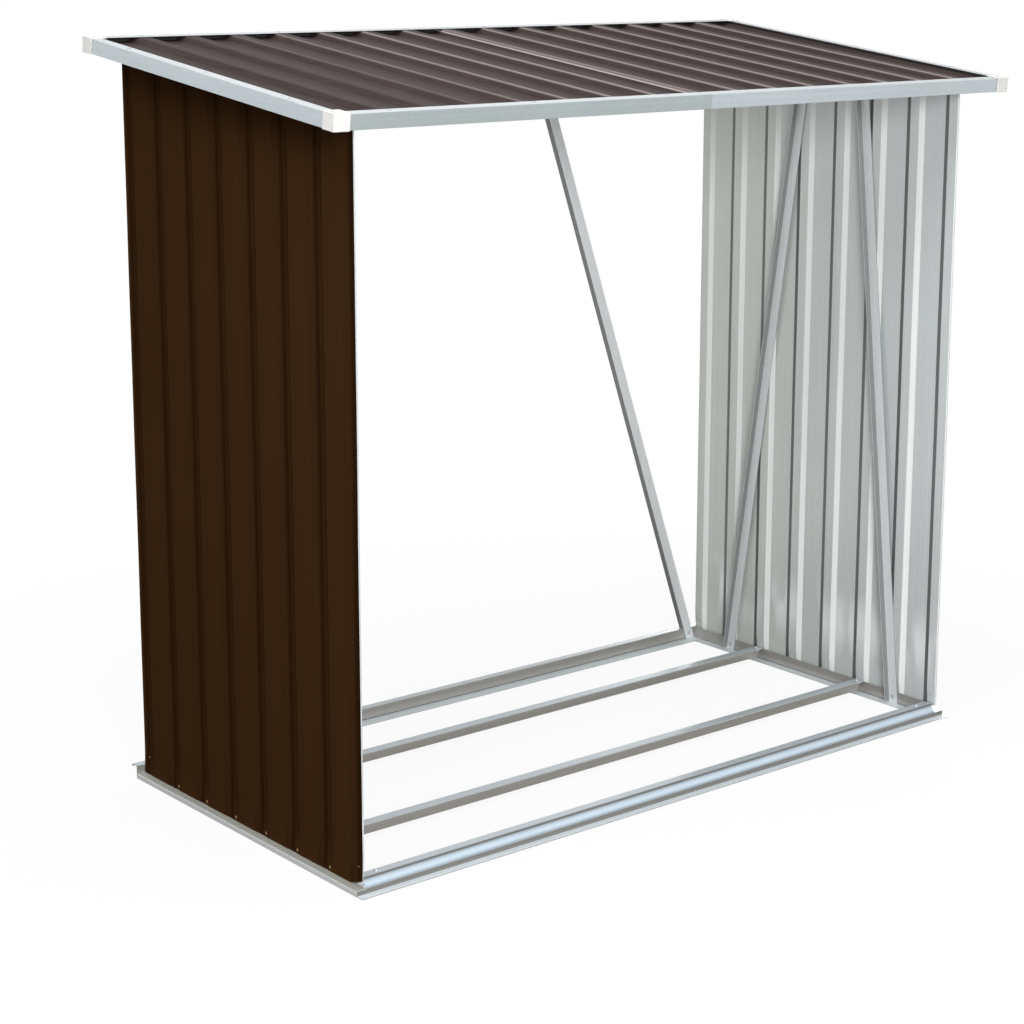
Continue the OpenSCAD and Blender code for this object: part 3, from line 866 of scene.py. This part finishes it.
wallScrew = {"in": 1.1 * mm, "off": 16 * mm, "up": 19 * mm, "end": 16 * mm, "endUp": 48 * mm,
             "lift": 0.6 * mm, "down": 14 * mm, "footSize": 0.8, "size": 0.55}
wallEnds = np.array([wallScrew["end"], wallWidth - wallScrew["end"]]) + wallLow.y
footRow = inRow(wallHigh.x - wallScrew["in"], grooves - wallScrew["off"], wallScrew["up"])
otherRows = np.concatenate([
    inRow(grooveFace, grooves, underRoof(grooves) - wallScrew["down"]),
    inRow(grooveFace + wallScrew["lift"], wallEnds, wallScrew["endUp"]),
    inRow(grooveFace, wallEnds, underRoof(wallEnds) - wallScrew["down"])])
wallScrews = joined([screwHeads(footRow, (1, 0, 0), wallScrew["footSize"]),
                     screwHeads(otherRows, (1, 0, 0), wallScrew["size"])])
makePair("WallScrews", wallScrews, [brassy])

# bolts through the brace ends, the beam tongues and the front rail's return, right half
bolt = {"up": 14 * mm, "tongue": 9 * mm, "return": 40 * mm, "size": 0.9}
sideFace = webIn - fit - brace["thick"]
sideBolts = []
for end, (footY, headY) in sideBraces.items():
    low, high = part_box("right_brace_" + end.lower())
    lean = (headY - footY) / (high.z - low.z)
    sideBolts += [(sideFace, baseMid + footY + lean * bolt["up"], low.z + bolt["up"]),
                  (sideFace, baseMid + headY - lean * bolt["up"], high.z - bolt["up"])]
rearFace = rearWebY - fit - brace["thick"]
lean = (rearHeadX - rearFootX) / (rearHigh.z - rearLow.z)
rearBolts = [(rearFootX + lean * bolt["up"], rearFace, rearLow.z + bolt["up"]),
             (rearHeadX - lean * bolt["up"], rearFace, rearHigh.z - bolt["up"])]
beamMiddles = [(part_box(n)[0].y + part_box(n)[1].y) / 2 for n in ("front_floor_beam", "rear_floor_beam")]
flatBolts = np.concatenate([inRow(webIn - bolt["tongue"], np.array(beamMiddles), beamTop),
                            inRow(webOut - bolt["return"], (returnY + uprightY) / 2, rail["high"])])
boltRows = [(sideBolts, (-1, 0, 0)), (rearBolts, (0, -1, 0)), (flatBolts, (0, 0, 1))]
bolts = joined([screwHeads(spots, outward, bolt["size"]) for spots, outward in boltRows])
makePair("Bolts", bolts, [silvery])

# screws in the trims' flanges, on the roof's ribs
flangeScrew = {"ribs": (1, 4, 7), "along": (0.18, 0.5, 0.82), "size": 0.6}
flangeRibs = np.array(flangeScrew["ribs"]) * roofPitch
flangeLong = -roof["length"] * np.array(flangeScrew["along"])
flangeMid = trimSet + trim["wide"] / 2
roofUp = (0, -math.sin(roof["slope"]), math.cos(roof["slope"]))
flangeSpots = [inRow(flangeRibs, y, -trimSet) for y in (-flangeMid, flangeMid - roof["length"])]
flangeSpots.append(inRow(roof["half"] - flangeMid, flangeLong, -trimSet))
trimScrews = screwHeads(onRoof(np.concatenate(flangeSpots)), roofUp, flangeScrew["size"])
makePair("TrimScrews", trimScrews, [greyish])

# two dark pins in each cap's top, painted shade in place of two small holes
pin = {"at": (0.34, 0.66), "size": 0.28}
pinWay = np.array(pin["at"]) * cap["wide"]
pinX, pinY = roof["half"] - pinWay, pinWay[::-1]
pinSpots = np.concatenate([inRow(pinX, y, -cap["sunk"]) for y in (-pinY, pinY - roof["length"])])
capPins = screwHeads(onRoof(pinSpots), roofUp, pin["size"])
makePair("CapPins", capPins, [holeShadePin])
print("stage: screws made")


# floor, light and camera
stage = {"near": 0.90, "gloss": 0.06, "size": 14.0, "world": 0.40, "fadeFrom": 1.0, "fadeTo": 2.3,
         "farFrom": 0.05, "farTo": 0.6, "bare": (0.22, 0.20, 0.18), "seen": (0.85, 0.85, 0.85)}


def rays(s, *names):
    # one where the ray is of one of these kinds
    return sum((s.add("ShaderNodeLightPath", {}, {}, name) for name in names), 0.0)


def whiteFloor():
    # the camera sees mostly white near the object, with its shadow, and plain white further away
    s = newShade("whiteFloor")
    s.finish(Base_Color=s.blend(rays(s, "Is Camera Ray"), stage["bare"], stage["seen"]), Roughness=0.9)
    away = s.add("ShaderNodeVectorMath", {"operation": "LENGTH"}, {0: s.place}, "Value")
    white = stage["near"] + (1 - stage["near"]) * s.steps(away, stage["fadeFrom"], stage["fadeTo"])
    # distance from the base's outline
    x, y = s.axis("X"), s.axis("Y")
    clear = x.maths("MAXIMUM", abs(x) - baseHalf, abs(y) - baseRear)
    shown = stage["gloss"] + (1 - stage["gloss"]) * s.steps(clear, stage["farFrom"], stage["farTo"])
    seen = rays(s, "Is Camera Ray") * white + rays(s, "Is Glossy Ray", "Is Transmission Ray") * shown
    glow = s.add("ShaderNodeEmission", {}, {"Color": (1, 1, 1, 1), "Strength": 1.0})
    return s.close(s.add("ShaderNodeMixShader", {}, {0: seen, 1: Socket(s, s.surface.outputs[0]), 2: glow}))


def studioWorld():
    # soft light all round, plain white to the camera and in reflections
    s = Shade(bpy.data.worlds.new("studio"))
    light = s.add("ShaderNodeBackground", {}, {"Color": (1, 1, 1, 1), "Strength": stage["world"]})
    plain = s.add("ShaderNodeBackground", {}, {"Color": (1, 1, 1, 1), "Strength": 1.0})
    seen = rays(s, "Is Camera Ray", "Is Glossy Ray", "Is Transmission Ray")
    return s.close(s.add("ShaderNodeMixShader", {}, {0: seen, 1: light, 2: plain}))


reach = stage["size"]
floorMesh = bpy.data.meshes.new("floor")
floorMesh.from_pydata([(-reach, -reach, 0), (reach, -reach, 0), (reach, reach, 0), (-reach, reach, 0)], [],
                      [(0, 1, 2, 3)])
floorMesh.materials.append(whiteFloor())
floor = bpy.data.objects.new("floor", floorMesh)
scene.collection.objects.link(floor)
scene.world = studioWorld()

# soft lamps, all aimed at the middle of the object: place, size and watts
lampAim = Vector((0, 0, 0.7))
lamps = {"key": ((-2.6, -5.2, 2.2), 2.2, 280), "top": ((-0.6, -0.6, 4.6), 3.6, 90),
         "side": ((-3.6, -1.2, 4.4), 2.6, 80), "fill": ((4.2, 3.0, 0.9), 1.5, 95)}
for name, (spot, size, watts) in lamps.items():
    light = bpy.data.lights.new(name, "AREA")
    light.shape, light.size, light.energy = "DISK", size, watts
    lamp = bpy.data.objects.new(name, light)
    lamp.location = spot
    lamp.rotation_euler = (lampAim - Vector(spot)).to_track_quat("-Z", "Y").to_euler()
    scene.collection.objects.link(lamp)

camera = {"azimuth": -39.03, "pitch": 11.77, "spot": (-3.0843, -3.6179, 1.707), "focus": 2294.1,
          "shift": (0.0041, -0.0842), "sensor": 36.0, "picture": 1024}
lens = bpy.data.cameras.new("camera")
lens.sensor_width = camera["sensor"]
lens.lens = camera["focus"] / camera["picture"] * camera["sensor"]
lens.shift_x, lens.shift_y = camera["shift"]
lens.clip_end = 100
eye = bpy.data.objects.new("camera", lens)
eye.location = camera["spot"]
eye.rotation_euler = Euler((math.radians(90 - camera["pitch"]), 0, math.radians(camera["azimuth"])), "XYZ")
scene.collection.objects.link(eye)
scene.camera = eye
print("stage: floor, light and camera made")
